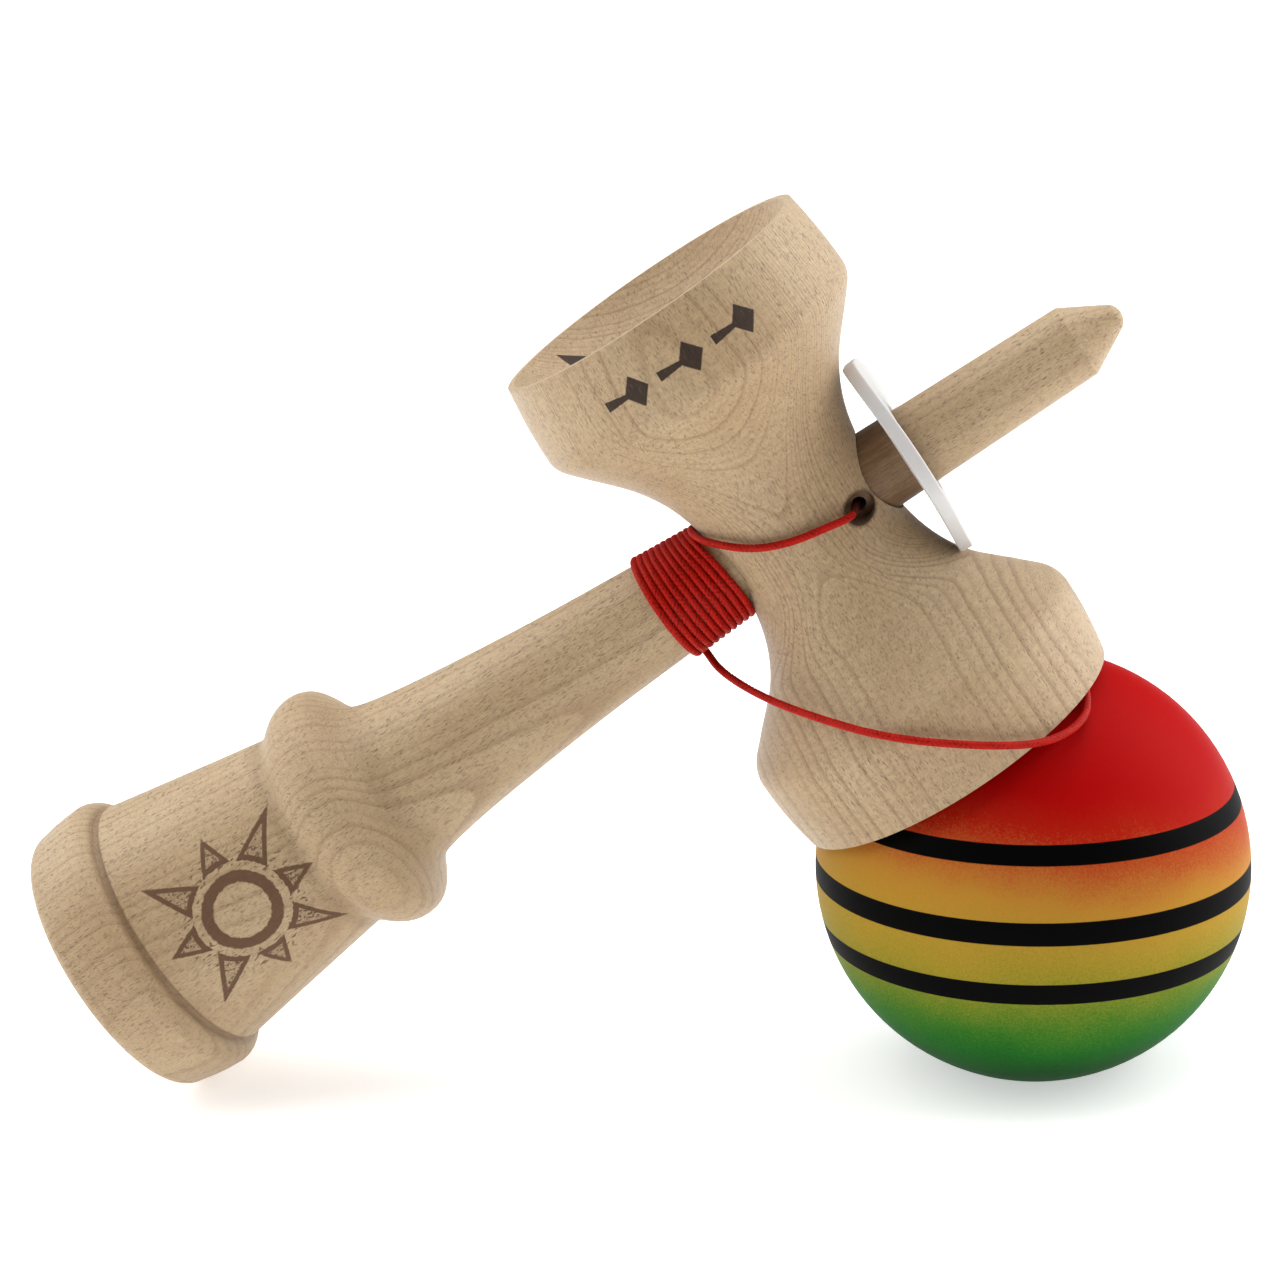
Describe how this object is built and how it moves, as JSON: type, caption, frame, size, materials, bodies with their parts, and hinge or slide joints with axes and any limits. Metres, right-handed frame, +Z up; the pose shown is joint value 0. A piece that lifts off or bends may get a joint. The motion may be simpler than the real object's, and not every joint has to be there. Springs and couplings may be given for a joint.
{
  "type": "kendama",
  "caption": "Wooden cup-and-ball skill toy: turned ken with spike and base cup, two-cup crosspiece, painted ball on a wound braided string.",
  "frame": {"origin": "middle of the bounding box in X and Y at the floor the toy stands on, measured without the string", "axes": "+Z up; +X along the floor from the base cup to the ball; +Y away from the side with the string hole; the ken leans 31.9 degrees above +X in the XZ plane"},
  "size_m": [0.1688, 0.06, 0.1216],
  "materials": {
    "ken_beech": "bare sanded beech, open grain",
    "sarado_beech": "bare sanded beech, open grain",
    "ball_paint": "wooden ball under matt sprayed paint, red to yellow to green with three black bands",
    "bead": "plain stopper bead",
    "string": "red braided polyester cord",
    "washer": "soft white plastic"
  },
  "bodies": {
    "toy": {"ken": "ken_beech", "sarado": "sarado_beech", "ken_knot": "string", "string_lead": "string", "string_winding": "string", "string_tail": "string"},
    "string_end": {"tama_bead": "bead", "tama_knot": "string"},
    "ball": {"tama": "ball_paint"},
    "washer": {"spike_washer": "washer"}
  },
  "joints": [
    {"name": "tama_lift", "type": "slide", "parent": "toy", "child": "string_end", "axis": [0.5284, 0, -0.849], "range_m": [0, 0.008], "deforming": ["string_tail"]},
    {"name": "tama_spin", "type": "hinge", "parent": "string_end", "child": "ball", "pos_m": [0.05434, 0, 0.02777], "axis": [0, 0, 1], "continuous": true},
    {"name": "washer_slide", "type": "slide", "parent": "toy", "child": "washer", "axis": [0.849, 0, 0.5284], "range_m": [0, 0.024]}
  ]
}
